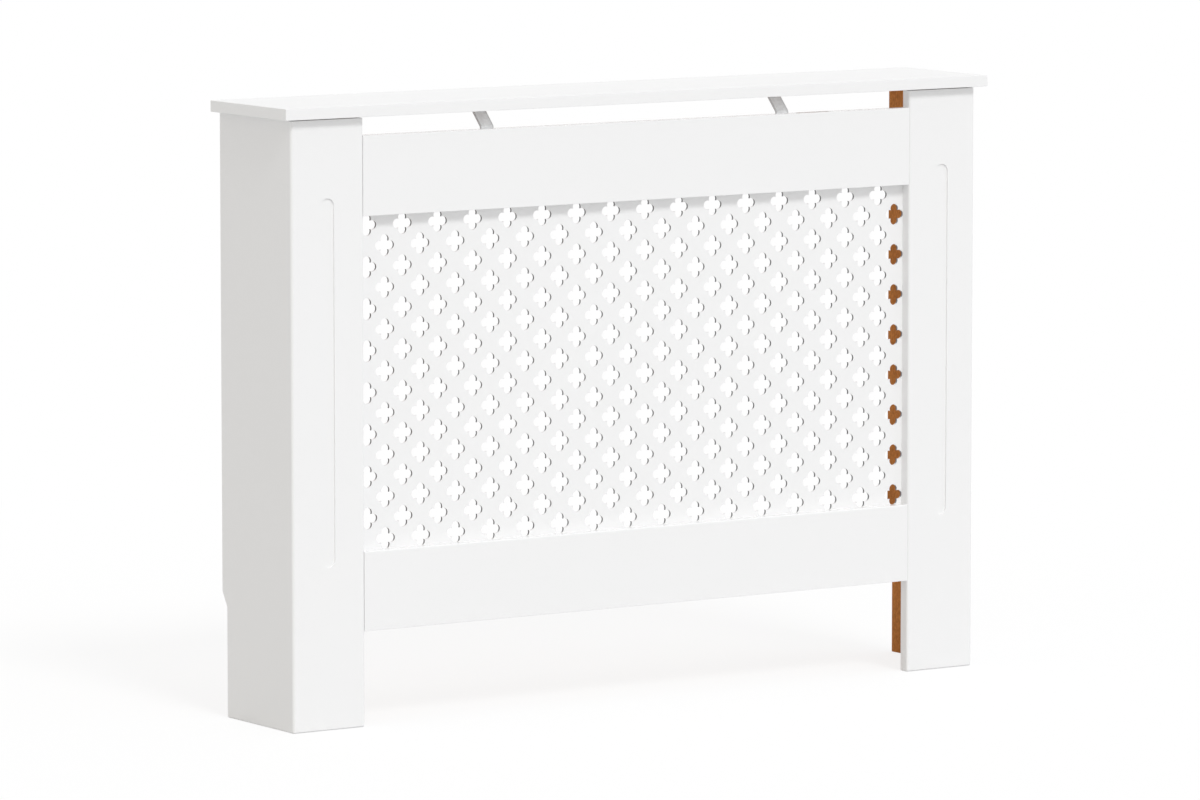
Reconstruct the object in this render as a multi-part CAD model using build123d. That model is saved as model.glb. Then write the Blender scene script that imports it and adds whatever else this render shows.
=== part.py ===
from build123d import *

import os
from collections import namedtuple
from math import radians, tan

# A radiator cover: a shelf on two sides, with a front frame of two posts and two rails and a
# perforated sheet behind it. Millimetres. The origin is on the floor, in the middle of the
# cover's box. +X runs to the right along the front, +Y back to the wall, +Z up.

# Overall size
WIDTH = 1120.0
DEPTH = 190.0
HEIGHT = 815.0

# Shelf
SHELF_THICKNESS = 15.0
SHELF_FRONT_OVERHANG = 11.0
SHELF_SIDE_OVERHANG = 14.0
SHELF_EASING = 0.5

# Sides, with the notch that clears the room's skirting board
SIDE_THICKNESS = 15.0
NOTCH_DEPTH = 12.0
NOTCH_HEIGHT = 147.0
NOTCH_SLOPE_RISE = 20.0

# Front frame: posts that stop just short of the shelf, and rails a little behind their faces
FRAME_THICKNESS = 15.0
POST_WIDTH = 109.5
POST_HEAD_GAP = 2.0
POST_OUTER_RADIUS = 4.0
POST_INNER_RADIUS = 3.0
FOOT_EASING = 1.5
UPPER_RAIL_HEIGHT = 105.0
LOWER_RAIL_HEIGHT = 105.0
WARM_AIR_GAP = 25.0
COOL_AIR_GAP = 126.0
RAIL_SETBACK = 0.5
RAIL_EASING = 0.5
LEDGE_EASING = 2.0

# Routed flute in each post
FLUTE_WIDTH = 20.0
FLUTE_DEPTH = 2.0
FLUTE_FOOT_MARGIN = 214.0
FLUTE_HEAD_MARGIN = 104.0

# Perforated sheet: holes of four lobes on a staggered lattice. A hole's span is measured over
# two opposite lobes, and its waist between the sharp inner corners on either side of a lobe.
GRILLE_THICKNESS = 3.0
GRILLE_LAP = 20.0
HOLE_PITCH_X = 54.5
HOLE_PITCH_Z = 55.0
HOLE_SPAN = 28.7
HOLE_WAIST = 11.4

# Bent steel straps between the upper rail and the shelf
STRAP_SPACING = 472.0
STRAP_WIDTH = 20.0
STRAP_THICKNESS = 2.0
STRAP_BEND_RADIUS = 3.0
STRAP_SLOPE_DEGREES = 45.0
STRAP_BEND_RISE = 2.5
STRAP_LOWER_LEG = 43.0
STRAP_UPPER_LEG = 41.0

# Flat plates across the joints of rails and posts
PLATE_LENGTH = 60.0
PLATE_WIDTH = 16.0
PLATE_THICKNESS = 2.0
PLATE_HOLES_FROM_JOINT = (8.0, 24.0)

# Angle brackets between the sides and the shelf
SHELF_BRACKET_LEG = 30.0
SHELF_BRACKET_WIDTH = 16.0
SHELF_BRACKET_THICKNESS = 2.0
SHELF_BRACKET_FRONT_GAP = 37.0
SHELF_BRACKET_REAR_GAP = 55.0
SHELF_BRACKET_HOLES = (11.0, 23.0)

# Low, wide angle brackets that hold the shelf to the wall
WALL_BRACKET_WIDTH = 52.0
WALL_BRACKET_REACH = 24.0
WALL_BRACKET_DROP = 15.0
WALL_BRACKET_THICKNESS = 2.0
WALL_BRACKET_SIDE_GAP = 131.0
WALL_BRACKET_HOLE_SPACING = 32.0
WALL_BRACKET_HOLE_REACH = 14.0
WALL_BRACKET_HOLE_DROP = 8.5
WALL_HOLE_RADIUS = 2.25

# Steel fittings in general; a bend's radius is taken in the middle of the thickness
BRACKET_BEND_RADIUS = 3.0
FITTING_CORNER_RADIUS = 2.5
STRAP_HOLES_FROM_END = (8.0, 24.0)

# Screws. A shank has play in its pilot hole and in a fitting, and room under its tip. Its skin
# is what is left of the thinnest board in front of the tip.
Screw = namedtuple("Screw", "shank_radius reach tip head_radius head_height recess_length")
SCREW_SKIN = 3.0
GRILLE_SCREW_SKIN = 4.0
SCREW_TIP = 3.0
RECESS_WIDTH = 0.8
RECESS_DEPTH = 1.1
PILOT_PLAY = 0.1
FITTING_PLAY = 0.3
TIP_ROOM = 1.0
BOARD_SCREW = Screw(
    shank_radius=1.75,
    reach=min(SHELF_THICKNESS, SIDE_THICKNESS, FRAME_THICKNESS) - SCREW_SKIN,
    tip=SCREW_TIP,
    head_radius=3.5,
    head_height=2.2,
    recess_length=3.8,
)
GRILLE_SCREW = Screw(
    shank_radius=1.5,
    reach=FRAME_THICKNESS - GRILLE_SCREW_SKIN,
    tip=SCREW_TIP,
    head_radius=3.0,
    head_height=1.8,
    recess_length=3.2,
)
GRILLE_SCREW_EDGE = 7.0
GRILLE_SCREWS_PER_RAIL = 7
GRILLE_SCREWS_PER_POST = 4
GRILLE_SCREW_RAIL_MARGIN = 45.0
GRILLE_SCREW_POST_MARGIN = 60.0

# Wooden dowels. A dowel fills its hole in the first board and has room at its other end.
Dowel = namedtuple("Dowel", "radius length first_depth")
CORNER_DOWEL_SKIN = 4.0
SHELF_DOWEL_SKIN = 5.0
CORNER_DOWEL = Dowel(radius=3.0, length=24.0, first_depth=FRAME_THICKNESS - CORNER_DOWEL_SKIN)
RAIL_DOWEL = Dowel(radius=3.0, length=40.0, first_depth=20.0)
SHELF_DOWEL = Dowel(radius=4.0, length=30.0, first_depth=SHELF_THICKNESS - SHELF_DOWEL_SKIN)
DOWEL_PLAY = 0.1
DOWEL_END_ROOM = 1.0
DOWEL_EASING = 0.8
CORNER_DOWELS_PER_SIDE = 5
CORNER_DOWEL_MARGIN = 60.0
RAIL_DOWEL_FROM_BACK = 7.5
RAIL_DOWEL_MARGIN = 26.0
SHELF_DOWELS_PER_SIDE = 2

# Faces and edges that several pieces share
front_y = -DEPTH / 2
rear_y = DEPTH / 2
frame_front_y = front_y + SHELF_FRONT_OVERHANG
frame_back_y = frame_front_y + FRAME_THICKNESS
grille_back_y = frame_back_y + GRILLE_THICKNESS
side_outer_x = WIDTH / 2 - SHELF_SIDE_OVERHANG
side_inner_x = side_outer_x - SIDE_THICKNESS
side_middle_x = side_outer_x - SIDE_THICKNESS / 2
post_inner_x = side_outer_x - POST_WIDTH
shelf_under_z = HEIGHT - SHELF_THICKNESS
upper_rail_top_z = shelf_under_z - WARM_AIR_GAP
upper_rail_foot_z = upper_rail_top_z - UPPER_RAIL_HEIGHT
lower_rail_top_z = COOL_AIR_GAP + LOWER_RAIL_HEIGHT
lower_rail_foot_z = COOL_AIR_GAP

# The sign of X on each side, the way from a joint to its post or its rail, the directions that
# fasteners face, and how closely an edge's length is known
LEFT, RIGHT = -1, 1
POST, RAIL = 1, -1
BACKWARD = (0, 1, 0)
FORWARD = (0, -1, 0)
DOWNWARD = (0, 0, -1)
EDGE_TOLERANCE = 0.001


def block(x_span, y_span, z_span):
    """A box between two limits on each axis."""
    sizes = [high - low for low, high in (x_span, y_span, z_span)]
    centre = [(low + high) / 2 for low, high in (x_span, y_span, z_span)]
    return Pos(*centre) * Box(*sizes)


def spread(low, high, count):
    """Evenly spaced values from low to high, with both ends."""
    return [low + (high - low) * i / (count - 1) for i in range(count)]


def face_plane(x, y, z, outward):
    """A plane on a board's face, whose Z axis points out of the board."""
    return Plane(origin=(x, y, z), z_dir=outward)


def front_edges(board, axis):
    """The edges of a board's front face that run along an axis."""
    return board.faces().sort_by(Axis.Y)[0].edges().filter_by(axis)


def foot_edges(board):
    """The edges of a board's bottom face."""
    return board.faces().sort_by(Axis.Z)[0].edges()


# Screws and dowels, and the holes for them


def screw(size, through):
    """A pan-head screw on a board at Z = 0. The head is seated at Z = through, the tip is below."""
    crown_z = through + size.head_height
    outline = Polyline(
        (0, crown_z),
        (0, -size.reach),
        (size.shank_radius, size.tip - size.reach),
        (size.shank_radius, through),
        (size.head_radius, through),
    )
    crown_radius = (size.head_radius**2 + size.head_height**2) / (2 * size.head_height)
    crown = RadiusArc((size.head_radius, through), (0, crown_z), -crown_radius)
    solid = revolve(Plane.XZ * make_face(outline + crown), axis=Axis.Z)
    slot = Pos(0, 0, crown_z - RECESS_DEPTH / 2) * Box(size.recess_length, RECESS_WIDTH, RECESS_DEPTH)
    return solid - slot - Rot(0, 0, 90) * slot


def screws(size, planes, through):
    """One screw on each plane, seated on a fitting or sheet of the given thickness."""
    one = screw(size, through)
    return [plane * one for plane in planes]


def pilot_holes(size, planes):
    """The holes in a board for screws."""
    depth = size.reach + TIP_ROOM
    hole = Pos(0, 0, -depth / 2) * Cylinder(size.shank_radius + PILOT_PLAY, depth)
    return [plane * hole for plane in planes]


def clearance_holes(radius, planes, through):
    """The holes in a fitting or sheet that lies on the planes."""
    hole = Pos(0, 0, through / 2) * Cylinder(radius, 2 * through)
    return [plane * hole for plane in planes]


def dowels(size, planes):
    """A dowel on each plane, with its first depth below the plane."""
    pin = Cylinder(size.radius, size.length)
    pin = chamfer(pin.edges().filter_by(GeomType.CIRCLE), DOWEL_EASING)
    return [plane.offset(size.length / 2 - size.first_depth) * pin for plane in planes]


def first_dowel_holes(size, planes):
    """The dowels' holes in the board below the planes."""
    hole = Cylinder(size.radius + DOWEL_PLAY, size.first_depth)
    return [plane.offset(-size.first_depth / 2) * hole for plane in planes]


def second_dowel_holes(size, planes):
    """The dowels' holes in the board above the planes."""
    depth = size.length - size.first_depth + DOWEL_END_ROOM
    hole = Cylinder(size.radius + DOWEL_PLAY, depth)
    return [plane.offset(depth / 2) * hole for plane in planes]


# Where the boards are fastened


def strap_low_planes(side):
    """The strap's screws in the back of the upper rail."""
    foot_z = upper_rail_top_z + STRAP_BEND_RISE - STRAP_LOWER_LEG
    x = side * STRAP_SPACING / 2
    return [face_plane(x, frame_back_y, foot_z + h, BACKWARD) for h in STRAP_HOLES_FROM_END]


def strap_high_planes(side):
    """The strap's screws in the underside of the shelf."""
    end_y = strap_points(side)[-1][1]
    x = side * STRAP_SPACING / 2
    return [face_plane(x, end_y - h, shelf_under_z, DOWNWARD) for h in STRAP_HOLES_FROM_END]


def plate_planes(side, rail_foot_z, rail_height, onto):
    """A joiner plate's screws in the back of the post or of the rail."""
    xs = [side * (post_inner_x + onto * h) for h in PLATE_HOLES_FROM_JOINT]
    return [face_plane(x, frame_back_y, rail_foot_z + rail_height / 2, BACKWARD) for x in xs]


def shelf_bracket_ys():
    """The middles of the front and the rear angle bracket on each side."""
    return frame_back_y + SHELF_BRACKET_FRONT_GAP, rear_y - SHELF_BRACKET_REAR_GAP


def shelf_bracket_side_planes(side, y):
    """An angle bracket's screws in the side."""
    zs = [shelf_under_z - h for h in SHELF_BRACKET_HOLES]
    return [face_plane(side * side_inner_x, y, z, (-side, 0, 0)) for z in zs]


def shelf_bracket_top_planes(side, y):
    """An angle bracket's screws in the underside of the shelf."""
    xs = [side * (side_inner_x - h) for h in SHELF_BRACKET_HOLES]
    return [face_plane(x, y, shelf_under_z, DOWNWARD) for x in xs]


def wall_bracket_x(side):
    """The middle of a wall bracket."""
    return side * (side_inner_x - WALL_BRACKET_SIDE_GAP)


def wall_bracket_hole_xs(side):
    """The two holes in each leg of a wall bracket."""
    half = WALL_BRACKET_HOLE_SPACING / 2
    return wall_bracket_x(side) - half, wall_bracket_x(side) + half


def wall_bracket_top_planes(side):
    """A wall bracket's screws in the underside of the shelf."""
    y = rear_y - WALL_BRACKET_HOLE_REACH
    return [face_plane(x, y, shelf_under_z, DOWNWARD) for x in wall_bracket_hole_xs(side)]


def wall_bracket_wall_planes(side):
    """A wall bracket's holes for screws into the wall."""
    z = shelf_under_z - WALL_BRACKET_HOLE_DROP
    return [face_plane(x, rear_y, z, FORWARD) for x in wall_bracket_hole_xs(side)]


def grille_rail_planes(z):
    """The sheet's screws along one rail."""
    reach = post_inner_x - GRILLE_SCREW_RAIL_MARGIN
    xs = spread(-reach, reach, GRILLE_SCREWS_PER_RAIL)
    return [face_plane(x, frame_back_y, z, BACKWARD) for x in xs]


def grille_post_planes(side):
    """The sheet's screws along one post."""
    x = side * (post_inner_x + GRILLE_LAP - GRILLE_SCREW_EDGE)
    low = lower_rail_top_z + GRILLE_SCREW_POST_MARGIN
    high = upper_rail_foot_z - GRILLE_SCREW_POST_MARGIN
    zs = spread(low, high, GRILLE_SCREWS_PER_POST)
    return [face_plane(x, frame_back_y, z, BACKWARD) for z in zs]


def grille_upper_z():
    """The height of the screws in the upper rail."""
    return upper_rail_foot_z + GRILLE_LAP - GRILLE_SCREW_EDGE


def grille_lower_z():
    """The height of the screws in the lower rail."""
    return lower_rail_top_z - GRILLE_LAP + GRILLE_SCREW_EDGE


def corner_dowel_planes(side):
    """The dowels between a post's back and a side's front edge."""
    zs = spread(CORNER_DOWEL_MARGIN, shelf_under_z - CORNER_DOWEL_MARGIN, CORNER_DOWELS_PER_SIDE)
    return [face_plane(side * side_middle_x, frame_back_y, z, BACKWARD) for z in zs]


def rail_dowel_planes(side, rail_foot_z, rail_height):
    """The dowels between a post and one end of a rail."""
    zs = (rail_foot_z + RAIL_DOWEL_MARGIN, rail_foot_z + rail_height - RAIL_DOWEL_MARGIN)
    y = frame_back_y - RAIL_DOWEL_FROM_BACK
    return [face_plane(side * post_inner_x, y, z, (-side, 0, 0)) for z in zs]


def shelf_dowel_planes(side):
    """The dowels between the shelf and a side's top edge, between the angle brackets."""
    ys = spread(*shelf_bracket_ys(), SHELF_DOWELS_PER_SIDE + 2)[1:-1]
    return [face_plane(side * side_middle_x, y, shelf_under_z, DOWNWARD) for y in ys]


RAILS = (
    (upper_rail_foot_z, UPPER_RAIL_HEIGHT),
    (lower_rail_foot_z, LOWER_RAIL_HEIGHT),
)


# Boards


def top_shelf():
    """The shelf, with every edge but those on the wall eased."""
    board = block((-WIDTH / 2, WIDTH / 2), (front_y, rear_y), (shelf_under_z, HEIGHT))
    wall_face = board.faces().sort_by(Axis.Y)[-1]
    free_edges = [edge for edge in board.edges() if edge not in wall_face.edges()]
    board = fillet(free_edges, SHELF_EASING)
    for side in (LEFT, RIGHT):
        board -= pilot_holes(BOARD_SCREW, strap_high_planes(side))
        board -= pilot_holes(BOARD_SCREW, wall_bracket_top_planes(side))
        board -= first_dowel_holes(SHELF_DOWEL, shelf_dowel_planes(side))
        for y in shelf_bracket_ys():
            board -= pilot_holes(BOARD_SCREW, shelf_bracket_top_planes(side, y))
    return board


def side_panel(side):
    """A side, cut away low at the rear for the skirting board."""
    outline = Polyline(
        (frame_back_y, 0),
        (rear_y - NOTCH_DEPTH, 0),
        (rear_y - NOTCH_DEPTH, NOTCH_HEIGHT),
        (rear_y, NOTCH_HEIGHT + NOTCH_SLOPE_RISE),
        (rear_y, shelf_under_z),
        (frame_back_y, shelf_under_z),
        close=True,
    )
    profile = Plane.YZ.offset(side_inner_x) * make_face(outline)
    board = extrude(profile, SIDE_THICKNESS)
    board = chamfer(foot_edges(board).sort_by(Axis.X)[-1], FOOT_EASING)
    if side == LEFT:
        board = mirror(board, about=Plane.YZ)
    board -= second_dowel_holes(CORNER_DOWEL, corner_dowel_planes(side))
    board -= second_dowel_holes(SHELF_DOWEL, shelf_dowel_planes(side))
    for y in shelf_bracket_ys():
        board -= pilot_holes(BOARD_SCREW, shelf_bracket_side_planes(side, y))
    return board


def front_post(side):
    """A post with rounded front arrises, an eased foot and a flute with round ends."""
    board = block(
        (post_inner_x, side_outer_x),
        (frame_front_y, frame_back_y),
        (0, shelf_under_z - POST_HEAD_GAP),
    )
    board = fillet(front_edges(board, Axis.Z).sort_by(Axis.X)[-1], POST_OUTER_RADIUS)
    board = fillet(front_edges(board, Axis.Z).sort_by(Axis.X)[0], POST_INNER_RADIUS)
    board = chamfer(foot_edges(board).sort_by(Axis.Y)[:-1], FOOT_EASING)
    board -= flute()
    if side == LEFT:
        board = mirror(board, about=Plane.YZ)
    board -= first_dowel_holes(CORNER_DOWEL, corner_dowel_planes(side))
    board -= pilot_holes(GRILLE_SCREW, grille_post_planes(side))
    for foot_z, height in RAILS:
        board -= first_dowel_holes(RAIL_DOWEL, rail_dowel_planes(side, foot_z, height))
        board -= pilot_holes(BOARD_SCREW, plate_planes(side, foot_z, height, onto=POST))
    return board


def flute():
    """The right post's flute as a tool that cuts it from the front face."""
    low = FLUTE_FOOT_MARGIN
    high = shelf_under_z - FLUTE_HEAD_MARGIN
    middle_x = (post_inner_x + side_outer_x) / 2
    start = Plane(origin=(middle_x, frame_front_y, (low + high) / 2), x_dir=(1, 0, 0), z_dir=BACKWARD)
    return extrude(start * SlotOverall(high - low, FLUTE_WIDTH, rotation=90), FLUTE_DEPTH)


def rail(foot_z, height, top_easing):
    """A rail between the posts, with its front arrises eased."""
    board = block(
        (-post_inner_x, post_inner_x),
        (frame_front_y + RAIL_SETBACK, frame_back_y),
        (foot_z, foot_z + height),
    )
    board = fillet(front_edges(board, Axis.X).sort_by(Axis.Z)[0], RAIL_EASING)
    board = fillet(front_edges(board, Axis.X).sort_by(Axis.Z)[-1], top_easing)
    for side in (LEFT, RIGHT):
        board -= second_dowel_holes(RAIL_DOWEL, rail_dowel_planes(side, foot_z, height))
        board -= pilot_holes(BOARD_SCREW, plate_planes(side, foot_z, height, onto=RAIL))
    return board


def upper_rail():
    """The upper rail, which also carries the straps and the top edge of the sheet."""
    board = rail(upper_rail_foot_z, UPPER_RAIL_HEIGHT, RAIL_EASING)
    board -= pilot_holes(GRILLE_SCREW, grille_rail_planes(grille_upper_z()))
    for side in (LEFT, RIGHT):
        board -= pilot_holes(BOARD_SCREW, strap_low_planes(side))
    return board


def lower_rail():
    """The lower rail, whose upper arris shows as a rounded ledge under the sheet."""
    board = rail(lower_rail_foot_z, LOWER_RAIL_HEIGHT, LEDGE_EASING)
    board -= pilot_holes(GRILLE_SCREW, grille_rail_planes(grille_lower_z()))
    return board


# Perforated sheet


def hole_outline():
    """Four equal lobes round a centre; neighbours meet in a sharp inner corner."""
    corner = HOLE_WAIST / 2
    lobe = ThreePointArc((corner, -corner), (HOLE_SPAN / 2, 0), (corner, corner))
    return Wire([edge for turn in range(4) for edge in (Rot(0, 0, 90 * turn) * lobe).edges()])


def hole_centres():
    """The lattice, in the sheet's own X and Z, centred on the frame's opening."""
    half_x, half_z = HOLE_PITCH_X / 2, HOLE_PITCH_Z / 2
    columns = round(2 * post_inner_x / half_x)
    rows = round((upper_rail_foot_z - lower_rail_top_z) / half_z)
    middle_z = (upper_rail_foot_z + lower_rail_top_z) / 2
    return [
        ((column - (columns - 1) / 2) * half_x, middle_z + (row - (rows - 1) / 2) * half_z)
        for column in range(columns)
        for row in range(rows)
        if (column + row) % 2
    ]


def grille_panel():
    """The sheet behind the frame, as one face with holes, made thick."""
    width = 2 * (post_inner_x + GRILLE_LAP)
    low = lower_rail_top_z - GRILLE_LAP
    high = upper_rail_foot_z + GRILLE_LAP
    border = Pos(0, (low + high) / 2) * Rectangle(width, high - low)
    hole = hole_outline()
    holes = [Pos(x, z) * hole for x, z in hole_centres()]
    sheet = Face(border.wire(), holes)
    plane = Plane(origin=(0, grille_back_y, 0), x_dir=(1, 0, 0), z_dir=FORWARD)
    board = extrude(plane * sheet, GRILLE_THICKNESS)
    planes = grille_fixing_planes()
    board -= clearance_holes(GRILLE_SCREW.shank_radius + FITTING_PLAY, planes, GRILLE_THICKNESS)
    return board


def grille_fixing_planes():
    """All the screws that hold the sheet."""
    planes = grille_rail_planes(grille_upper_z()) + grille_rail_planes(grille_lower_z())
    return planes + grille_post_planes(LEFT) + grille_post_planes(RIGHT)


# Steel fittings


def bent_bar(points, radius, width, thickness, width_axis):
    """A flat bar that follows points through the middle of its thickness."""
    path = FilletPolyline(*points, radius=radius)
    start = Plane(origin=path @ 0, x_dir=width_axis, z_dir=path % 0)
    bar = sweep(start * Rectangle(width, thickness), path=path)
    return round_ends(bar, thickness)


def round_ends(bar, thickness):
    """Round the four corners of a flat bar's ends, which are its edges as long as it is thick."""
    corners = bar.edges().filter_by(lambda edge: abs(edge.length - thickness) < EDGE_TOLERANCE)
    return fillet(corners, FITTING_CORNER_RADIUS)


def strap_points(side):
    """The middle line of a strap, from its foot on the rail to its end under the shelf."""
    x = side * STRAP_SPACING / 2
    y = frame_back_y + STRAP_THICKNESS / 2
    bend_z = upper_rail_top_z + STRAP_BEND_RISE
    top_z = shelf_under_z - STRAP_THICKNESS / 2
    run = (top_z - bend_z) / tan(radians(STRAP_SLOPE_DEGREES))
    return [
        (x, y, bend_z - STRAP_LOWER_LEG),
        (x, y, bend_z),
        (x, y + run, top_z),
        (x, y + run + STRAP_UPPER_LEG, top_z),
    ]


def support_strap(side):
    """A strap screwed to the back of the upper rail and to the underside of the shelf."""
    bar = bent_bar(strap_points(side), STRAP_BEND_RADIUS, STRAP_WIDTH, STRAP_THICKNESS, (1, 0, 0))
    planes = strap_low_planes(side) + strap_high_planes(side)
    bar -= clearance_holes(BOARD_SCREW.shank_radius + FITTING_PLAY, planes, STRAP_THICKNESS)
    return bar


def joiner_plate(side, foot_z, height):
    """A flat plate on the back of the frame, across the joint of a rail and a post."""
    centre = (side * post_inner_x, frame_back_y + PLATE_THICKNESS / 2, foot_z + height / 2)
    plate = Pos(*centre) * Box(PLATE_LENGTH, PLATE_THICKNESS, PLATE_WIDTH)
    plate = round_ends(plate, PLATE_THICKNESS)
    planes = plate_planes(side, foot_z, height, onto=POST) + plate_planes(side, foot_z, height, onto=RAIL)
    plate -= clearance_holes(BOARD_SCREW.shank_radius + FITTING_PLAY, planes, PLATE_THICKNESS)
    return plate


def shelf_bracket(side, y):
    """An angle bracket in the corner of a side and the shelf."""
    half = SHELF_BRACKET_THICKNESS / 2
    x = side_inner_x - half
    z = shelf_under_z - half
    points = [
        (side * x, y, shelf_under_z - SHELF_BRACKET_LEG),
        (side * x, y, z),
        (side * (side_inner_x - SHELF_BRACKET_LEG), y, z),
    ]
    bar = bent_bar(points, BRACKET_BEND_RADIUS, SHELF_BRACKET_WIDTH, SHELF_BRACKET_THICKNESS, (0, 1, 0))
    planes = shelf_bracket_side_planes(side, y) + shelf_bracket_top_planes(side, y)
    bar -= clearance_holes(BOARD_SCREW.shank_radius + FITTING_PLAY, planes, SHELF_BRACKET_THICKNESS)
    return bar


def wall_bracket(side):
    """An angle bracket under the shelf, with two open holes towards the wall."""
    half = WALL_BRACKET_THICKNESS / 2
    x = wall_bracket_x(side)
    points = [
        (x, rear_y - WALL_BRACKET_REACH, shelf_under_z - half),
        (x, rear_y - half, shelf_under_z - half),
        (x, rear_y - half, shelf_under_z - WALL_BRACKET_DROP),
    ]
    bar = bent_bar(points, BRACKET_BEND_RADIUS, WALL_BRACKET_WIDTH, WALL_BRACKET_THICKNESS, (1, 0, 0))
    top_planes = wall_bracket_top_planes(side)
    wall_planes = wall_bracket_wall_planes(side)
    bar -= clearance_holes(BOARD_SCREW.shank_radius + FITTING_PLAY, top_planes, WALL_BRACKET_THICKNESS)
    bar -= clearance_holes(WALL_HOLE_RADIUS, wall_planes, WALL_BRACKET_THICKNESS)
    return bar


# Fasteners, one group for each kind of joint


def strap_screws():
    """The screws of both straps."""
    planes = [p for side in (LEFT, RIGHT) for p in strap_low_planes(side) + strap_high_planes(side)]
    return screws(BOARD_SCREW, planes, STRAP_THICKNESS)


def plate_screws():
    """The screws of the four joiner plates."""
    planes = [
        plane
        for side in (LEFT, RIGHT)
        for foot_z, height in RAILS
        for onto in (POST, RAIL)
        for plane in plate_planes(side, foot_z, height, onto)
    ]
    return screws(BOARD_SCREW, planes, PLATE_THICKNESS)


def shelf_bracket_screws():
    """The screws of the four angle brackets on the sides."""
    planes = [
        plane
        for side in (LEFT, RIGHT)
        for y in shelf_bracket_ys()
        for plane in shelf_bracket_side_planes(side, y) + shelf_bracket_top_planes(side, y)
    ]
    return screws(BOARD_SCREW, planes, SHELF_BRACKET_THICKNESS)


def wall_bracket_screws():
    """The screws that hold the wall brackets to the shelf."""
    planes = wall_bracket_top_planes(LEFT) + wall_bracket_top_planes(RIGHT)
    return screws(BOARD_SCREW, planes, WALL_BRACKET_THICKNESS)


def grille_screws():
    """The screws of the perforated sheet."""
    return screws(GRILLE_SCREW, grille_fixing_planes(), GRILLE_THICKNESS)


def corner_dowels():
    """The dowels of both post and side corners."""
    return dowels(CORNER_DOWEL, corner_dowel_planes(LEFT) + corner_dowel_planes(RIGHT))


def rail_dowels():
    """The dowels of the four rail ends."""
    planes = [
        plane
        for side in (LEFT, RIGHT)
        for foot_z, height in RAILS
        for plane in rail_dowel_planes(side, foot_z, height)
    ]
    return dowels(RAIL_DOWEL, planes)


def shelf_dowels():
    """The dowels between the shelf and both sides."""
    return dowels(SHELF_DOWEL, shelf_dowel_planes(LEFT) + shelf_dowel_planes(RIGHT))


def all_nodes():
    """Every piece by its name. A list is a group of separate fasteners."""
    nodes = {
        "top_shelf": top_shelf(),
        "upper_rail": upper_rail(),
        "lower_rail": lower_rail(),
        "grille_panel": grille_panel(),
        "strap_screws": strap_screws(),
        "plate_screws": plate_screws(),
        "shelf_bracket_screws": shelf_bracket_screws(),
        "wall_bracket_screws": wall_bracket_screws(),
        "grille_screws": grille_screws(),
        "corner_dowels": corner_dowels(),
        "rail_dowels": rail_dowels(),
        "shelf_dowels": shelf_dowels(),
    }
    for side, side_name in ((LEFT, "left"), (RIGHT, "right")):
        nodes[f"side_panel_{side_name}"] = side_panel(side)
        nodes[f"front_post_{side_name}"] = front_post(side)
        nodes[f"support_strap_{side_name}"] = support_strap(side)
        nodes[f"wall_bracket_{side_name}"] = wall_bracket(side)
        for (foot_z, height), rail_name in zip(RAILS, ("upper", "lower")):
            nodes[f"joiner_plate_{rail_name}_{side_name}"] = joiner_plate(side, foot_z, height)
        for y, place_name in zip(shelf_bracket_ys(), ("front", "rear")):
            nodes[f"shelf_bracket_{side_name}_{place_name}"] = shelf_bracket(side, y)
    return nodes


def main():
    """Write one STEP file for each piece or group."""
    os.makedirs("parts", exist_ok=True)
    for name, shape in all_nodes().items():
        pieces = shape if isinstance(shape, list) else [shape]
        solids = [solid for piece in pieces for solid in piece.solids()]
        export_step(Compound(solids), f"parts/{name}.step")


main()
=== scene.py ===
"""The looks of a white radiator cover cabinet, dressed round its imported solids.

Everything is in metres in the solids' own frame: X to the right along the front, Y back to the
wall, Z up from the floor. Each sub-assembly is a class, each finish a frozen dataclass, and
main() builds them in order.
"""

import logging
import math
from collections.abc import Callable
from dataclasses import dataclass, field
from enum import Enum
from typing import Any

import bpy
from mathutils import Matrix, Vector


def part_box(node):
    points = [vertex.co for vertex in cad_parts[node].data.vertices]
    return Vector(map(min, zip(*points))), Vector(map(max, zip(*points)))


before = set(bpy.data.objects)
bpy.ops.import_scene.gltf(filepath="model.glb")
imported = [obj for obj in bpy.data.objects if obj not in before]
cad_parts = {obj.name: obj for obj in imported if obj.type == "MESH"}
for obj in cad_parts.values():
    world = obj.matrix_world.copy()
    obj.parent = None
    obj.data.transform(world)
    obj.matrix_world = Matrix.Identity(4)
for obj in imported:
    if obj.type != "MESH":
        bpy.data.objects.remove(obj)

LOG = logging.getLogger("radiator_cover")
MM = 0.001
PLAIN_SPECULAR = 0.5
BOARD_SPECULAR = 0.3
NOISE_MIDDLE = 0.5

Colour = tuple[float, float, float]
Point = tuple[float, float, float]
Band = tuple[float, float]


class Axis(Enum):
    """The three axes, as a vector's parts are named."""

    X = "X"
    Y = "Y"
    Z = "Z"


class Way(Enum):
    """The ways that a surface can face."""

    UP = (0.0, 0.0, 1.0)
    DOWN = (0.0, 0.0, -1.0)
    BACK = (0.0, 1.0, 0.0)
    RIGHT = (1.0, 0.0, 0.0)
    LEFT = (-1.0, 0.0, 0.0)


# Shader maths


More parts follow.
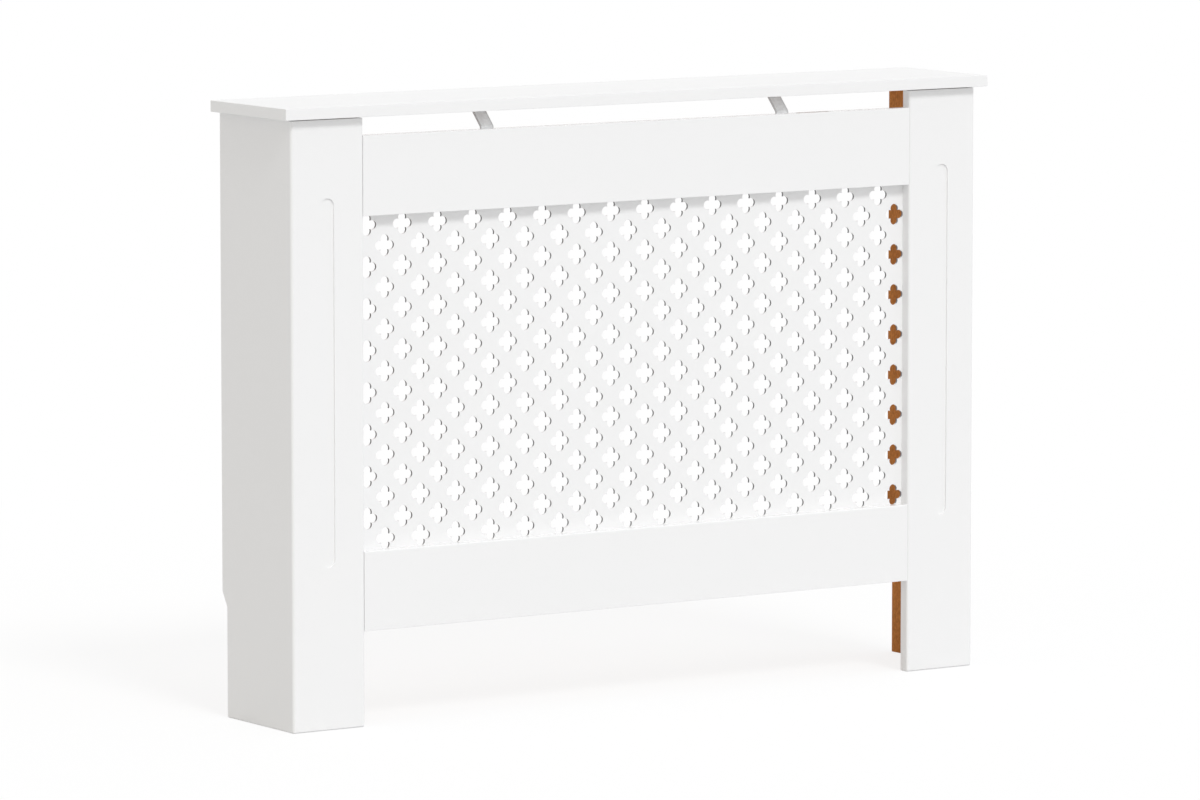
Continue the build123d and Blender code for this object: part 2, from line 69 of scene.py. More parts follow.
class Sock:
    """A node's output that takes part in arithmetic."""

    def __init__(self, graph: "Graph", socket: bpy.types.NodeSocket | None) -> None:
        """Wrap one output socket of a graph."""
        self.graph = graph
        self.socket = socket

    def _math(self, operation: str, first: "Value", second: "Value") -> "Sock":
        """Add one Math node."""
        return self.graph.node("ShaderNodeMath", {"operation": operation}, {0: first, 1: second})

    def __add__(self, other: "Value") -> "Sock":
        """self + other."""
        return self._math("ADD", self, other)

    def __radd__(self, other: "Value") -> "Sock":
        """other + self."""
        return self._math("ADD", other, self)

    def __sub__(self, other: "Value") -> "Sock":
        """self - other."""
        return self._math("SUBTRACT", self, other)

    def __rsub__(self, other: "Value") -> "Sock":
        """other - self."""
        return self._math("SUBTRACT", other, self)

    def __mul__(self, other: "Value") -> "Sock":
        """self * other."""
        return self._math("MULTIPLY", self, other)

    def __rmul__(self, other: "Value") -> "Sock":
        """other * self."""
        return self._math("MULTIPLY", other, self)

    def __abs__(self) -> "Sock":
        """The distance from zero."""
        return self._math("ABSOLUTE", self, 0.0)

    def least(self, other: "Value") -> "Sock":
        """The smaller of two values."""
        return self._math("MINIMUM", self, other)

    def most(self, other: "Value") -> "Sock":
        """The larger of two values."""
        return self._math("MAXIMUM", self, other)


Value = Sock | float
Shade = Sock | Colour


class Graph:
    """The node tree of one material or world."""

    def __init__(self, tree: bpy.types.NodeTree) -> None:
        """Start from an empty tree."""
        tree.nodes.clear()
        self.tree = tree

    def node(
        self,
        kind: str,
        settings: dict[str, Any] | None = None,
        inputs: dict[int | str, Any] | None = None,
        output: int | str = 0,
    ) -> Sock:
        """Add a node.

        Args:
            kind: The node's type.
            settings: Its properties, such as a Math node's operation, set first.
            inputs: Values or links for its sockets, by index, name or identifier.
            output: The socket to return.

        Returns:
            The chosen output.
        """
        made = self.tree.nodes.new(kind)
        for name, value in (settings or {}).items():
            setattr(made, name, value)
        for key, value in (inputs or {}).items():
            socket = self._find(made.inputs, key)
            if isinstance(value, Sock):
                self.tree.links.new(value.socket, socket)
            else:
                socket.default_value = value
        outputs = made.outputs
        return Sock(self, self._find(outputs, output)) if len(outputs) else Sock(self, None)

    @staticmethod
    def _find(sockets: Any, key: int | str) -> bpy.types.NodeSocket:
        """Find one socket.

        Args:
            sockets: A node's inputs or outputs.
            key: The socket's index, identifier or name.

        Returns:
            The socket.
        """
        if isinstance(key, int):
            return sockets[key]
        by_identifier = [socket for socket in sockets if socket.identifier == key]
        return by_identifier[0] if by_identifier else sockets[key]

    def place(self) -> Sock:
        """The point on the surface, in the object's own frame."""
        return self.node("ShaderNodeTexCoord", output="Object")

    def part(self, vector: Sock, axis: Axis) -> Sock:
        """One coordinate of a vector."""
        return self.node("ShaderNodeSeparateXYZ", inputs={0: vector}, output=axis.value)

    def facing(self, way: Way) -> Sock:
        """Tell how far the surface faces a way.

        Args:
            way: The way that is asked about.

        Returns:
            1 where it faces that way, 0 where it faces across it and -1 where it faces away.
        """
        normal = self.node("ShaderNodeNewGeometry", output="True Normal")
        dot = {"operation": "DOT_PRODUCT"}
        return self.node("ShaderNodeVectorMath", dot, {0: normal, 1: way.value}, "Value")

    def stretched(self, vector: Sock, scale: Point) -> Sock:
        """A vector with each coordinate scaled."""
        return self.node("ShaderNodeVectorMath", {"operation": "MULTIPLY"}, {0: vector, 1: scale})

    def laid(self, vector: Sock, grain: Axis, stretch: float) -> Sock:
        """A vector on which every pattern is drawn out along one axis."""
        scale = tuple(1.0 / stretch if axis is grain else 1.0 for axis in Axis)
        return self.stretched(vector, scale)

    def noise(self, vector: Sock, scale: float, detail: float = 2.0, rough: float = 0.5) -> Sock:
        """Smooth noise from 0 to 1, with about scale features to a metre."""
        values = {"Vector": vector, "Scale": scale, "Detail": detail, "Roughness": rough}
        return self.node("ShaderNodeTexNoise", inputs=values)

    @staticmethod
    def swing(noise: Sock, depth: float) -> Sock:
        """Noise as a swing about zero."""
        return (noise - NOISE_MIDDLE) * depth

    def cells(self, vector: Sock, scale: float) -> Sock:
        """Cells that each have their own colour, about scale of them to a metre."""
        values = {"Vector": vector, "Scale": scale}
        return self.node("ShaderNodeTexVoronoi", inputs=values, output="Color")

    def ease(
        self,
        value: Value,
        low: float,
        high: float,
        to_low: float = 0.0,
        to_high: float = 1.0,
    ) -> Sock:
        """Make a smooth step between two limits.

        Args:
            value: What the step follows.
            low: Where the step starts.
            high: Where it ends.
            to_low: The result at low and below.
            to_high: The result at high and above.

        Returns:
            The stepped value.
        """
        limits = {"From Min": low, "From Max": high, "To Min": to_low, "To Max": to_high}
        smooth = {"interpolation_type": "SMOOTHSTEP"}
        return self.node("ShaderNodeMapRange", smooth, {"Value": value, **limits})

    def blend(self, first: Shade, second: Shade, share: Value) -> Sock:
        """Mix two colours.

        Args:
            first: The colour where share is 0.
            second: The colour where share is 1.
            share: How much of the second one shows.

        Returns:
            The mixed colour.
        """
        colours = {"A_Color": self._colour(first), "B_Color": self._colour(second)}
        kind = {"data_type": "RGBA", "clamp_factor": True}
        return self.node("ShaderNodeMix", kind, {"Factor_Float": share, **colours}, "Result_Color")

    def tinted(self, colour: Shade, share: Value) -> Sock:
        """Multiply a colour by a factor, which makes it lighter or darker."""
        grey = self.node("ShaderNodeCombineXYZ", inputs={0: share, 1: share, 2: share})
        return self.node("ShaderNodeVectorMath", {"operation": "MULTIPLY"}, {0: colour, 1: grey})

    @staticmethod
    def _colour(value: Shade) -> Sock | tuple[float, ...]:
        """A colour as a colour socket takes it."""
        return value if isinstance(value, Sock) else (*value, 1.0)


@dataclass
class Surface:
    """What varies over a surface: its colour, its roughness and its relief in metres."""

    colour: Sock
    roughness: Sock
    relief: Sock

    def under(self, graph: Graph, other: "Surface", share: Sock) -> "Surface":
        """Cover this surface with another one.

        Args:
            graph: The node tree to build in.
            other: The surface on top.
            share: 1 where it covers, 0 where this one shows.

        Returns:
            The surface that shows.
        """
        return Surface(
            graph.blend(self.colour, other.colour, share),
            self.roughness * (1.0 - share) + other.roughness * share,
            self.relief * (1.0 - share) + other.relief * share,
        )


# Finishes


@dataclass(frozen=True)
class SatinPaint:
    """White satin paint, sprayed: faint clouds and a fine orange peel.

    Level faces have a roughness of their own, which is the same as the rest unless it is given.
    """

    colour: Colour = (0.9, 0.9, 0.9)
    cloud_scale: float = 4.0
    cloud_detail: float = 3.0
    cloud_depth: float = 0.012
    peel_scale: float = 420.0
    peel_detail: float = 1.5
    peel_height: float = 0.012 * MM
    roughness: float = 0.45
    roughness_spread: float = 0.08
    level_roughness: float = 0.45
    level_band: Band = (0.93, 0.99)

    def surface(self, graph: Graph, place: Sock) -> Surface:
        """Lay the paint.

        Args:
            graph: The node tree to build in.
            place: The point on the surface.

        Returns:
            The painted surface.
        """
        cloud = graph.noise(place, self.cloud_scale, self.cloud_detail)
        peel = graph.noise(place, self.peel_scale, self.peel_detail)
        colour = graph.tinted(self.colour, 1.0 + graph.swing(cloud, self.cloud_depth))
        level = graph.ease(graph.facing(Way.UP), *self.level_band)
        roughness = self.roughness + level * (self.level_roughness - self.roughness)
        roughness = roughness + graph.swing(peel, self.roughness_spread)
        return Surface(colour, roughness, peel * self.peel_height)


@dataclass(frozen=True)
class ThinPaint:
    """A single thin coat of white on fibreboard: duller, with the fibres' shade showing through."""

    colour: Colour = (0.86, 0.855, 0.845)
    stained: Colour = (0.74, 0.715, 0.68)
    stain_scale: float = 22.0
    stain_detail: float = 5.0
    stain_rough: float = 0.6
    stain_share: float = 0.7
    stain_band: Band = (0.5, 0.75)
    stain_depth: float = 0.6
    fibre_scale: float = 340.0
    fibre_detail: float = 3.0
    relief: float = 0.03 * MM
    roughness: float = 0.62
    roughness_spread: float = 0.15

    def surface(self, graph: Graph, place: Sock) -> Surface:
        """Lay the coat.

        Args:
            graph: The node tree to build in.
            place: The point on the surface.

        Returns:
            The coated surface.
        """
        stain = graph.noise(place, self.stain_scale, self.stain_detail, self.stain_rough)
        fibre = graph.noise(place, self.fibre_scale, self.fibre_detail)
        both = stain * self.stain_share + fibre * (1.0 - self.stain_share)
        stain_shown = graph.ease(both, *self.stain_band) * self.stain_depth
        colour = graph.blend(self.colour, self.stained, stain_shown)
        roughness = self.roughness + graph.swing(fibre, self.roughness_spread)
        return Surface(colour, roughness, fibre * self.relief)


@dataclass(frozen=True)
class RawBoard:
    """Bare brown fibreboard: matted fibres with soft mottling and dark specks."""

    pale: Colour = (0.68, 0.285, 0.07)
    deep: Colour = (0.42, 0.155, 0.03)
    speck: Colour = (0.16, 0.06, 0.015)
    fibre_scale: float = 420.0
    fibre_detail: float = 6.0
    fibre_rough: float = 0.62
    fibre_stretch: float = 2.5
    fibre_share: float = 0.7
    mottle_scale: float = 38.0
    mottle_detail: float = 3.0
    shade_band: Band = (0.34, 0.66)
    speck_scale: float = 1500.0
    speck_detail: float = 1.0
    speck_band: Band = (0.66, 0.78)
    speck_depth: float = 0.7
    relief: float = 0.04 * MM
    roughness: float = 0.82
    roughness_spread: float = 0.2

    def surface(self, graph: Graph, place: Sock, grain: Axis) -> Surface:
        """Lay the matted fibres.

        Args:
            graph: The node tree to build in.
            place: The point on the surface.
            grain: The axis that the fibres lie along.

        Returns:
            The bare surface.
        """
        lay = graph.laid(place, grain, self.fibre_stretch)
        fibre = graph.noise(lay, self.fibre_scale, self.fibre_detail, self.fibre_rough)
        mottle = graph.noise(lay, self.mottle_scale, self.mottle_detail)
        specks = graph.noise(place, self.speck_scale, self.speck_detail)
        both = fibre * self.fibre_share + mottle * (1.0 - self.fibre_share)
        colour = graph.blend(self.deep, self.pale, graph.ease(both, *self.shade_band))
        speck_shown = graph.ease(specks, *self.speck_band) * self.speck_depth
        colour = graph.blend(colour, self.speck, speck_shown)
        roughness = self.roughness + graph.swing(fibre, self.roughness_spread)
        return Surface(colour, roughness, fibre * self.relief)


@dataclass(frozen=True)
class CutEdge:
    """The cut edge of thin painted board: a thirsty coat over raised fibres.

    Its upright walls are painted darker and its upper and lower walls paler: painted shade and light
    that follow which way a wall faces, over the dark cut edge.
    """

    colour: Colour = (0.26, 0.265, 0.275)
    deep: Colour = (0.13, 0.13, 0.135)
    # Paler colour for the upper and lower walls of a hole: painted light.
    pale_lit_wall: Colour = (0.84, 0.84, 0.84)
    fibre_scale: float = 1600.0
    fibre_detail: float = 3.0
    fibre_band: Band = (0.35, 0.6)
    upright_shade_band: Band = (0.55, 0.95)
    upright_shade_fray: float = 0.15
    relief: float = 0.03 * MM
    roughness: float = 0.7
    roughness_spread: float = 0.15

    def surface(self, graph: Graph, place: Sock) -> Surface:
        """Lay the thin coat and the fibres under it.

        Args:
            graph: The node tree to build in.
            place: The point on the surface.

        Returns:
            The edge's surface.
        """
        fibre = graph.noise(place, self.fibre_scale, self.fibre_detail)
        colour = graph.blend(self.deep, self.colour, graph.ease(fibre, *self.fibre_band))
        # Painted shade: upright walls take the dark cut-edge colour, upper and lower walls stay
        # painted pale.
        shaded_upright = abs(graph.facing(Way.RIGHT)) + graph.swing(fibre, self.upright_shade_fray)
        colour = graph.blend(self.pale_lit_wall, colour, graph.ease(shaded_upright, *self.upright_shade_band))
        roughness = self.roughness + graph.swing(fibre, self.roughness_spread)
        return Surface(colour, roughness, fibre * self.relief)


@dataclass(frozen=True)
class GalvanisedSteel:
    """Dull zinc on rolled strip: spangle, rolling streaks and darker sheared edges."""

    colour: Colour = (0.72, 0.73, 0.745)
    sheared: Colour = (0.50, 0.505, 0.515)
    sheared_band: Band = (0.6, 0.9)
    sheared_depth: float = 0.6
    metallic: float = 0.7
    spangle_scale: float = 240.0
    spangle_depth: float = 0.12
    streak_scale: float = 1800.0
    streak_detail: float = 2.0
    streak_lay: Point = (1.0, 0.06, 0.06)
    streak_depth: float = 0.12
    # A band along the strip's sides is painted darker: painted shade for rounded edges, partly darker
    # slit zinc.
    rim: float = 2.4 * MM
    rim_core: float = 0.96 * MM
    rim_shade_depth: float = 0.55
    relief: float = 0.01 * MM
    roughness: float = 0.55
    spangle_roughness: float = 0.14
    streak_roughness: float = 0.1

    def surface(self, graph: Graph, place: Sock) -> Surface:
        """Lay the zinc, with spangle and rolling streaks.

        Args:
            graph: The node tree to build in.
            place: The point on the surface.

        Returns:
            The steel's surface.
        """
        spangle = graph.part(graph.cells(place, self.spangle_scale), Axis.X)
        rolled = graph.stretched(place, self.streak_lay)
        streak = graph.noise(rolled, self.streak_scale, self.streak_detail)
        bright = 1.0 + graph.swing(spangle, self.spangle_depth)
        bright = bright + graph.swing(streak, self.streak_depth)
        side = graph.ease(abs(graph.facing(Way.RIGHT)), *self.sheared_band)
        zinc = graph.tinted(self.colour, bright)
        colour = graph.blend(zinc, self.sheared, side * self.sheared_depth)
        roughness = self.roughness + graph.swing(spangle, self.spangle_roughness)
        roughness = roughness + graph.swing(streak, self.streak_roughness)
        return Surface(colour, roughness, streak * self.relief)

    def strip(self, graph: Graph, place: Sock, low: float, high: float) -> Surface:
        """Lay the steel of a strip, with darker rims along both sides: painted shade standing in for
        rounded edges, partly darker slit zinc.

        Args:
            graph: The node tree to build in.
            place: The point on the surface.
            low: The strip's lower limit on X.
            high: The strip's upper limit on X.

        Returns:
            The strip's surface.
        """
        steel = self.surface(graph, place)
        half = 0.5 * (high - low)
        across = abs(graph.part(place, Axis.X) - 0.5 * (low + high))
        # Painted shade along both sides of the strip, partly darker slit zinc.
        rim = graph.ease(across, half - self.rim, half - self.rim_core) * self.rim_shade_depth
        return Surface(graph.blend(steel.colour, self.sheared, rim), steel.roughness, steel.relief)


@dataclass(frozen=True)
class ZincPlate:
    """Bright zinc plating on small screws, a little cloudy."""

    colour: Colour = (0.68, 0.70, 0.72)
    dull: Colour = (0.46, 0.45, 0.43)
    cloud_scale: float = 420.0
    cloud_detail: float = 4.0
    cloud_band: Band = (0.52, 0.72)
    cloud_depth: float = 0.5
    fine_scale: float = 2100.0
    relief: float = 0.008 * MM
    metallic: float = 1.0
    roughness: float = 0.3
    roughness_spread: float = 0.25

    def surface(self, graph: Graph, place: Sock) -> Surface:
        """Lay the plating.

        Args:
            graph: The node tree to build in.
            place: The point on the surface.

        Returns:
            The plated surface.
        """
        cloud = graph.noise(place, self.cloud_scale, self.cloud_detail)
        fine = graph.noise(place, self.fine_scale)
        cloud_shown = graph.ease(cloud, *self.cloud_band) * self.cloud_depth
        colour = graph.blend(self.colour, self.dull, cloud_shown)
        roughness = self.roughness + graph.swing(cloud, self.roughness_spread)
        return Surface(colour, roughness, fine * self.relief)


@dataclass(frozen=True)
class BeechWood:
    """Turned beech: fine grain along the dowel with short dark rays."""

    pale: Colour = (0.66, 0.46, 0.28)
    deep: Colour = (0.47, 0.29, 0.15)
    grain_scale: float = 700.0
    grain_detail: float = 5.0
    grain_rough: float = 0.6
    grain_band: Band = (0.38, 0.66)
    grain_stretch: float = 14.0
    ray_scale: float = 2100.0
    ray_detail: float = 1.0
    ray_band: Band = (0.64, 0.74)
    ray_depth: float = 0.8
    relief: float = 0.05 * MM
    roughness: float = 0.6
    roughness_spread: float = 0.2

    def surface(self, graph: Graph, place: Sock, grain: Axis) -> Surface:
        """Lay the grain and its rays.

        Args:
            graph: The node tree to build in.
            place: The point on the surface.
            grain: The axis that the grain runs along.

        Returns:
            The wood's surface.
        """
        lay = graph.laid(place, grain, self.grain_stretch)
        fine = graph.noise(lay, self.grain_scale, self.grain_detail, self.grain_rough)
        rays = graph.noise(lay, self.ray_scale, self.ray_detail)
        ray_shown = graph.ease(rays, *self.ray_band) * self.ray_depth
        colour = graph.blend(self.pale, self.deep, graph.ease(fine, *self.grain_band))
        colour = graph.blend(colour, self.deep, ray_shown)
        roughness = self.roughness + graph.swing(fine, self.roughness_spread)
        return Surface(colour, roughness, fine * self.relief)


# Materials


def new_material(
    name: str,
    build: Callable[[Graph], Surface],
    metallic: float = 0.0,
    specular: float = PLAIN_SPECULAR,
) -> bpy.types.Material:
    """Make a material from a surface.

    Args:
        name: The material's name.
        build: What makes the surface's nodes.
        metallic: How far it is bare metal, from 0 to 1.
        specular: How much a surface that is no metal mirrors.

    Returns:
        The new material.
    """
    material = bpy.data.materials.new(name)
    material.use_nodes = True
    graph = Graph(material.node_tree)
    surface = build(graph)
    bump = graph.node("ShaderNodeBump", inputs={"Height": surface.relief, "Distance": 1.0})
    values = {
        "Base Color": surface.colour,
        "Roughness": surface.roughness,
        "Metallic": metallic,
        "Specular IOR Level": specular,
        "Normal": bump,
    }
    shader = graph.node("ShaderNodeBsdfPrincipled", inputs=values)
    graph.node("ShaderNodeOutputMaterial", inputs={"Surface": shader})
    return material


def dress(node: str, material: bpy.types.Material) -> None:
    """Give a carried-over node its finish.

    Args:
        node: The node's name.
        material: Its finish.
    """
    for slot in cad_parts[node].material_slots:
        slot.material = material
    LOG.info("%s: %s", node, material.name)


@dataclass(frozen=True)
class PaintedBoard:
    """A board painted on its face and edges, with one side bare.

    The paint runs over the bare side's rim by a margin on each axis, and is frayed there.
    """

    bare: Way
    grain: Axis
    bare_band: Band = (0.7, 0.9)
    margin: Point = (0.0, 0.0, 0.0)
    fray: float = 0.6 * MM
    fray_swing: float = 2.4 * MM
    fray_scale: float = 220.0
    fray_detail: float = 3.0
    paint: SatinPaint = SatinPaint()
    raw: RawBoard = RawBoard()

    def material(self, name: str, low: Vector, high: Vector) -> bpy.types.Material:
        """The board's material.

        Args:
            name: The material's name.
            low: The board's lowest corner.
            high: The board's highest corner.

        Returns:
            The new material.
        """

        def build(graph: Graph) -> Surface:
            """Lay the paint, and the bare board that it leaves.

            Args:
                graph: The node tree to build in.

            Returns:
                The board's surface.
            """
            place = graph.place()
            painted = self.paint.surface(graph, place)
            bare = self.raw.surface(graph, place, self.grain)
            share = graph.ease(graph.facing(self.bare), *self.bare_band)
            ragged = graph.noise(place, self.fray_scale, self.fray_detail)
            wander = graph.swing(ragged, self.fray_swing)
            for index, axis in enumerate(Axis):
                if self.margin[index] > 0.0:
                    along = graph.part(place, axis)
                    reach = (along - low[index]).least(high[index] - along) + wander
                    start = self.margin[index]
                    share = share * graph.ease(reach, start, start + self.fray)
            return painted.under(graph, bare, share)

        return new_material(name, build, specular=BOARD_SPECULAR)


# Sub-assemblies


@dataclass
class Shelf:
    """The top shelf, painted all over, with a thinner coat underneath."""

    node: str = "top_shelf"
    under_band: Band = (0.7, 0.9)

    def build(self) -> None:
        """Dress the shelf."""
        paint, thin = SatinPaint(), ThinPaint()

        def surface(graph: Graph) -> Surface:
            """Lay the paint, and the thinner coat underneath.

            Args:
                graph: The node tree to build in.

            Returns:
                The shelf's surface.
            """
            place = graph.place()
            under = graph.ease(graph.facing(Way.DOWN), *self.under_band)
            return paint.surface(graph, place).under(graph, thin.surface(graph, place), under)

        dress(self.node, new_material("shelf_board", surface, specular=BOARD_SPECULAR))


@dataclass
class Sides:
    """The two sides, white outside and bare inside."""

    left: str = "side_panel_left"
    right: str = "side_panel_right"

    def build(self) -> None:
        """Dress both sides."""
        for node, bare in ((self.left, Way.RIGHT), (self.right, Way.LEFT)):
            board = PaintedBoard(bare, Axis.Z)
            dress(node, board.material(f"{node}_board", *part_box(node)))


@dataclass
class FrontFrame:
    """The posts and rails, white in front and bare behind, the rails' level edges smoother."""

    posts: tuple[str, ...] = ("front_post_left", "front_post_right")
    rails: tuple[str, ...] = ("upper_rail", "lower_rail")
    paint_rim: float = 1.2 * MM
    rail_paint: SatinPaint = SatinPaint(level_roughness=0.15)

    def build(self) -> None:
        """Dress the posts and rails."""
        rim = self.paint_rim
        post_board = PaintedBoard(Way.BACK, Axis.Z, margin=(rim, 0.0, rim))
        rail_board = PaintedBoard(Way.BACK, Axis.X, margin=(0.0, 0.0, rim), paint=self.rail_paint)
        for nodes, board in ((self.posts, post_board), (self.rails, rail_board)):
            for node in nodes:
                dress(node, board.material(f"{node}_board", *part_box(node)))


@dataclass
class PerforatedSheet:
    """The sheet with the four-lobed holes."""

    node: str = "grille_panel"
    back_band: Band = (0.6, 0.9)
    wall_band: Band = (0.3, 0.7)

    def build(self) -> None:
        """Dress the sheet: painted face, bare back, thinly coated edges."""
        paint, raw, edge = SatinPaint(), RawBoard(), CutEdge()

        def surface(graph: Graph) -> Surface:
            """Lay the face, the bare back and the walls of the holes.

            Args:
                graph: The node tree to build in.

            Returns:
                The sheet's surface.
            """
            place = graph.place()
            facing = graph.facing(Way.BACK)
            back = graph.ease(facing, *self.back_band)
            walls = graph.ease(abs(facing), *self.wall_band, to_low=1.0, to_high=0.0)
            sheet = paint.surface(graph, place).under(graph, raw.surface(graph, place, Axis.X), back)
            return sheet.under(graph, edge.surface(graph, place), walls)

        dress(self.node, new_material("perforated_sheet", surface, specular=BOARD_SPECULAR))


@dataclass
class SteelFittings:
    """The straps, plates and brackets: the straps are paler and duller than the rest, their paler
    colour partly painted light that lifts them in the shade under the shelf.
    """

    straps: str = "support_strap"
    others: tuple[str, ...] = ("joiner_plate", "shelf_bracket", "wall_bracket")
    # Paler strap colour: partly painted light for the shade of the slot under the shelf, partly a
    # duller, paler zinc.
    lit_strap_steel: GalvanisedSteel = GalvanisedSteel(colour=(0.93, 0.94, 0.95), metallic=0.1)
    plain_steel: GalvanisedSteel = GalvanisedSteel()

    def build(self) -> None:
        """Dress the fittings."""
        steel = self.plain_steel
        plain = new_material(
            "galvanised_steel",
            lambda graph: steel.surface(graph, graph.place()),
            steel.metallic,
        )
        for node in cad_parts:
            if node.startswith(self.straps):
                self.dress_strap(node)
            elif node.startswith(self.others) and not node.endswith("_screws"):
                dress(node, plain)

    def dress_strap(self, node: str) -> None:
        """Dress one strap, with darker rims along both sides: painted shade, partly darker slit zinc.

        Args:
            node: The strap's name.
        """
        low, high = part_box(node)
        steel = self.lit_strap_steel

        def surface(graph: Graph) -> Surface:
            """Lay the steel between this strap's own two sides."""
            return steel.strip(graph, graph.place(), low[0], high[0])

        dress(node, new_material(f"{node}_steel", surface, steel.metallic))


@dataclass
class Fasteners:
    """The screws and dowels."""

    dowel_grain: dict[str, Axis] = field(
        default_factory=lambda: {
            "corner_dowels": Axis.Y,
            "rail_dowels": Axis.X,
            "shelf_dowels": Axis.Z,
        }
    )

    def build(self) -> None:
        """Dress the screws and dowels."""
        zinc = ZincPlate()
        material = new_material(
            "zinc_plated_screw",
            lambda graph: zinc.surface(graph, graph.place()),
            zinc.metallic,
        )
        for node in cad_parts:
            if node.endswith("_screws"):
                dress(node, material)
        for node, grain in self.dowel_grain.items():
            self.dress_dowels(node, grain)

    def dress_dowels(self, node: str, grain: Axis) -> None:
        """Dress one group of dowels, with the grain along them.

        Args:
            node: The group's name.
            grain: The axis that the dowels lie along.
        """
        beech = BeechWood()
        material = new_material(
            f"{node}_beech",
            lambda graph: beech.surface(graph, graph.place(), grain),
        )
        dress(node, material)


# Studio


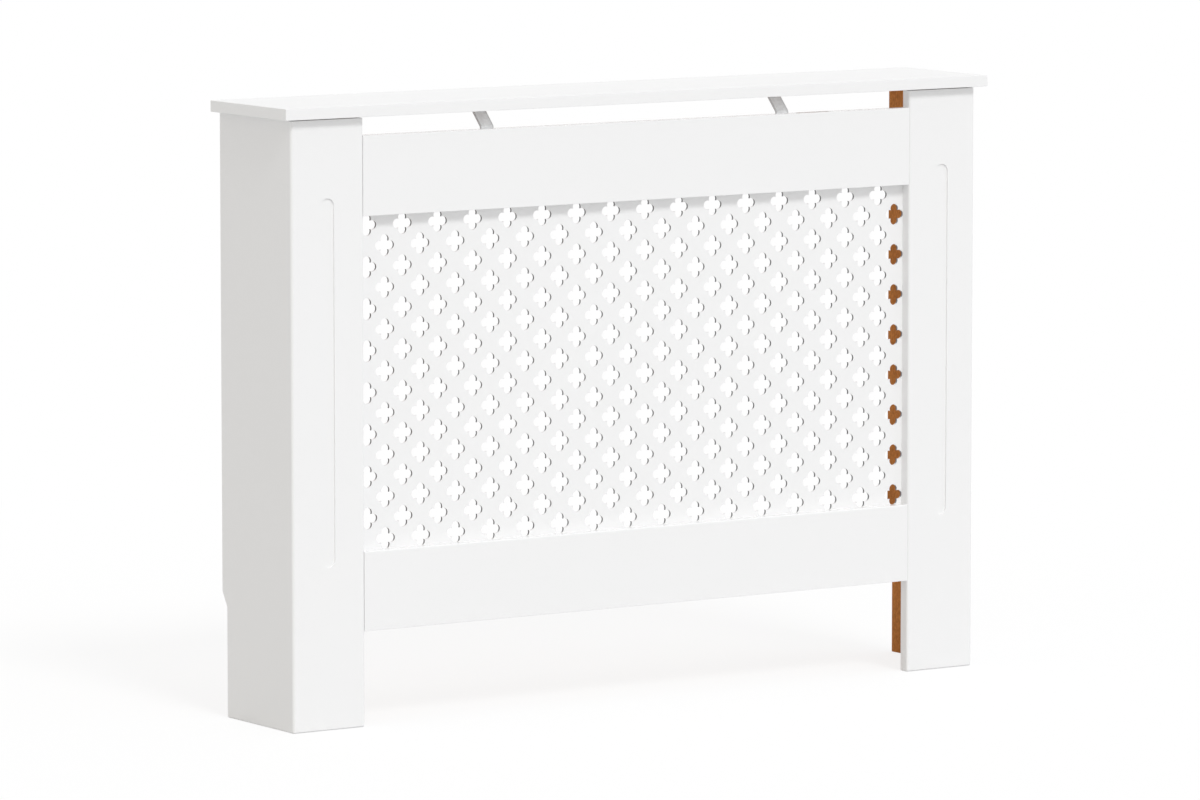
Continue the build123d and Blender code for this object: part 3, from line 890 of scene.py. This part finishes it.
@dataclass
class Studio:
    """A plain pale floor, a soft key lamp from the front and above, a pale sky and the camera."""

    floor_radius: float = 8.0
    floor_steps: int = 64
    floor_drop: float = 0.2 * MM
    floor_bounce: Colour = (0.70, 0.70, 0.70)
    floor_seen: Colour = (0.97, 0.97, 0.97)
    shadow_share: float = 0.18
    shadow_reach: Band = (0.8, 2.2)
    sky_left: Colour = (0.675, 0.649, 0.605)
    sky_right: Colour = (0.825, 0.851, 0.895)
    sky_below: Colour = (0.715, 0.715, 0.715)
    sky_seen: Colour = (1.0, 1.0, 1.0)
    horizon: Band = (-0.02, 0.0)
    key_distance: float = 4.0
    key_elevation: float = math.radians(46.0)
    key_azimuth: float = math.radians(5.0)
    key_strength: float = 0.375 * math.pi
    key_width: float = math.radians(16.0)
    view_aim: Point = (-0.0096, 0.0046, 0.3948)
    view_distance: float = 10.156
    view_azimuth: float = math.radians(33.529)
    view_elevation: float = math.radians(6.515)
    lens_mm: float = 226.95
    sensor_mm: float = 36.0
    far_limit: float = 100.0

    def build(self) -> None:
        """Make the whole studio."""
        scene = bpy.context.scene
        scene.view_settings.view_transform = "Standard"
        self.build_floor()
        self.build_sky(scene)
        self.build_key()
        scene.camera = self.build_camera()

    def build_floor(self) -> None:
        """Make the floor."""
        steps, radius = self.floor_steps, self.floor_radius
        turns = [math.tau * step / steps for step in range(steps)]
        low = -self.floor_drop
        points = [(radius * math.cos(turn), radius * math.sin(turn), low) for turn in turns]
        mesh = bpy.data.meshes.new("studio_floor")
        mesh.from_pydata(points, [], [tuple(range(steps))])
        floor = bpy.data.objects.new("studio_floor", mesh)
        bpy.context.scene.collection.objects.link(floor)
        mesh.materials.append(self.floor_material())
        LOG.info("studio floor, %.1f m across", 2.0 * self.floor_radius)

    def floor_material(self) -> bpy.types.Material:
        """Make the floor white to the camera with a faint shadow, and a plain bounce for the rest.

        Returns:
            The floor's material.
        """
        material = bpy.data.materials.new("studio_floor")
        material.use_nodes = True
        graph = Graph(material.node_tree)
        bounce = graph.node("ShaderNodeBsdfDiffuse", inputs={"Color": (*self.floor_bounce, 1.0)})
        matt = graph.node("ShaderNodeBsdfDiffuse", inputs={"Color": (*self.floor_seen, 1.0)})
        glow = graph.node("ShaderNodeEmission", inputs={"Strength": 1.0})
        away = graph.node("ShaderNodeVectorMath", {"operation": "LENGTH"}, {0: graph.place()}, "Value")
        near = graph.ease(away, *self.shadow_reach, to_low=self.shadow_share, to_high=0.0)
        seen = graph.node("ShaderNodeMixShader", inputs={0: near, 1: glow, 2: matt})
        mixed = graph.node("ShaderNodeMixShader", inputs={0: self.seen(graph), 1: bounce, 2: seen})
        graph.node("ShaderNodeOutputMaterial", inputs={"Surface": mixed})
        return material

    @staticmethod
    def seen(graph: Graph) -> Sock:
        """Tell the rays that show the background from those that light the object.

        Args:
            graph: The node tree to build in.

        Returns:
            1 for rays from the camera and for what metal and glass show, 0 for the rest.
        """
        rays = ("Is Camera Ray", "Is Glossy Ray", "Is Transmission Ray")
        camera, glossy, through = (graph.node("ShaderNodeLightPath", output=ray) for ray in rays)
        return camera.most(glossy).most(through)

    def build_sky(self, scene: bpy.types.Scene) -> None:
        """Make a pale sky: white where it is seen; as light, a little dimmer and warmer on the left.

        Args:
            scene: The scene that it lights.
        """
        world = bpy.data.worlds.new("studio_sky")
        world.use_nodes = True
        scene.world = world
        graph = Graph(world.node_tree)
        left, right, below, seen = (
            graph.node("ShaderNodeBackground", inputs={"Color": (*colour, 1.0)})
            for colour in (self.sky_left, self.sky_right, self.sky_below, self.sky_seen)
        )
        way = graph.node("ShaderNodeTexCoord", output="Generated")
        rightward = graph.part(way, Axis.X) * 0.5 + 0.5  # from 0 on the far left to 1 on the far right
        sides = graph.node("ShaderNodeMixShader", inputs={0: rightward, 1: left, 2: right})
        above = graph.ease(graph.part(way, Axis.Z), *self.horizon)
        dome = graph.node("ShaderNodeMixShader", inputs={0: above, 1: below, 2: sides})
        sky = graph.node("ShaderNodeMixShader", inputs={0: self.seen(graph), 1: dome, 2: seen})
        graph.node("ShaderNodeOutputWorld", inputs={"Surface": sky})

    def build_key(self) -> None:
        """Make the key lamp."""
        lamp = bpy.data.lights.new("key_lamp", "SUN")
        lamp.energy = self.key_strength
        lamp.angle = self.key_width
        self.turned(
            lamp,
            self.key_azimuth,
            self.key_elevation,
            self.key_distance,
            Vector(),
        )

    def build_camera(self) -> bpy.types.Object:
        """Make the camera: a long lens, a little above the cover and to its left.

        Returns:
            The camera.
        """
        data = bpy.data.cameras.new("camera")
        data.lens = self.lens_mm
        data.sensor_width = self.sensor_mm
        data.clip_end = self.far_limit
        return self.turned(
            data,
            self.view_azimuth,
            self.view_elevation,
            self.view_distance,
            Vector(self.view_aim),
        )

    @staticmethod
    def turned(
        data: bpy.types.ID,
        azimuth: float,
        elevation: float,
        distance: float,
        aim: Vector,
    ) -> bpy.types.Object:
        """Put a lamp or a camera up, turned to a point.

        Args:
            data: The lamp or the camera, whose name its object takes.
            azimuth: The way that it looks: 0 is straight back, and more turns it right.
            elevation: How steeply it looks down.
            distance: How far it stands from the point.
            aim: The point.

        Returns:
            The object.
        """
        level = math.cos(elevation)
        ahead = Vector((
            math.sin(azimuth) * level,
            math.cos(azimuth) * level,
            -math.sin(elevation),
        ))
        made = bpy.data.objects.new(data.name, data)
        made.rotation_mode = "QUATERNION"
        made.rotation_quaternion = ahead.to_track_quat("-Z", "Y")
        made.location = aim - distance * ahead
        bpy.context.scene.collection.objects.link(made)
        return made


def main() -> None:
    """Build and dress everything."""
    logging.basicConfig(level=logging.INFO, format="%(name)s %(message)s")
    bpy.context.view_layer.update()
    assemblies = (
        Studio(),
        Shelf(),
        Sides(),
        FrontFrame(),
        PerforatedSheet(),
        SteelFittings(),
        Fasteners(),
    )
    for assembly in assemblies:
        LOG.info("building %s", type(assembly).__name__)
        assembly.build()


if __name__ == "__main__":
    main()
